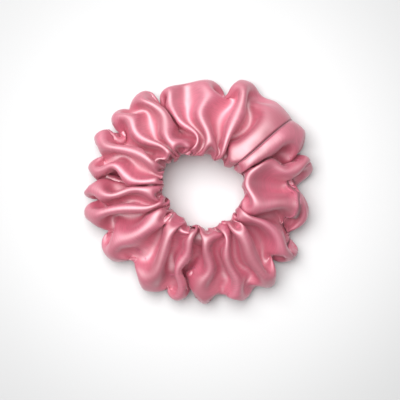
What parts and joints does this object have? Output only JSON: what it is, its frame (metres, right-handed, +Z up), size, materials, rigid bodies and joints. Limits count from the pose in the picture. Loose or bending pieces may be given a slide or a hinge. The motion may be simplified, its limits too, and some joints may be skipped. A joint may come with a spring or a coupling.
{
  "type": "scrunchie",
  "caption": "Gathered satin tube over a loop of braided elastic, which holds a ponytail or bun of hair in its middle.",
  "frame": {"origin": "centre of the hole, on the plane that the ring lies on", "axes": "+Z up through the hole; the end seam lies 36 degrees from +X towards +Y and the turning gap's stitching faces +X"},
  "size_m": [0.1148, 0.1148, 0.027],
  "materials": {
    "satin_cover": "satin weave with soft highlights",
    "elastic_braid": "matt braid",
    "rubber_cores": "matt",
    "sewing_thread": "spun polyester",
    "elastic_thread": "spun polyester"
  },
  "bodies": {
    "root": {"satin_cover": "satin_cover", "elastic_braid": "elastic_braid", "rubber_cores": "rubber_cores", "elastic_join_needle_thread": "elastic_thread", "elastic_join_bobbin_thread": "elastic_thread", "end_seam_needle_thread": "sewing_thread", "end_seam_bobbin_thread": "sewing_thread", "long_seam_needle_thread": "sewing_thread", "long_seam_bobbin_thread": "sewing_thread", "short_seam_needle_thread": "sewing_thread", "short_seam_bobbin_thread": "sewing_thread", "turning_gap_needle_thread": "sewing_thread", "turning_gap_bobbin_thread": "sewing_thread"}
  },
  "joints": []
}
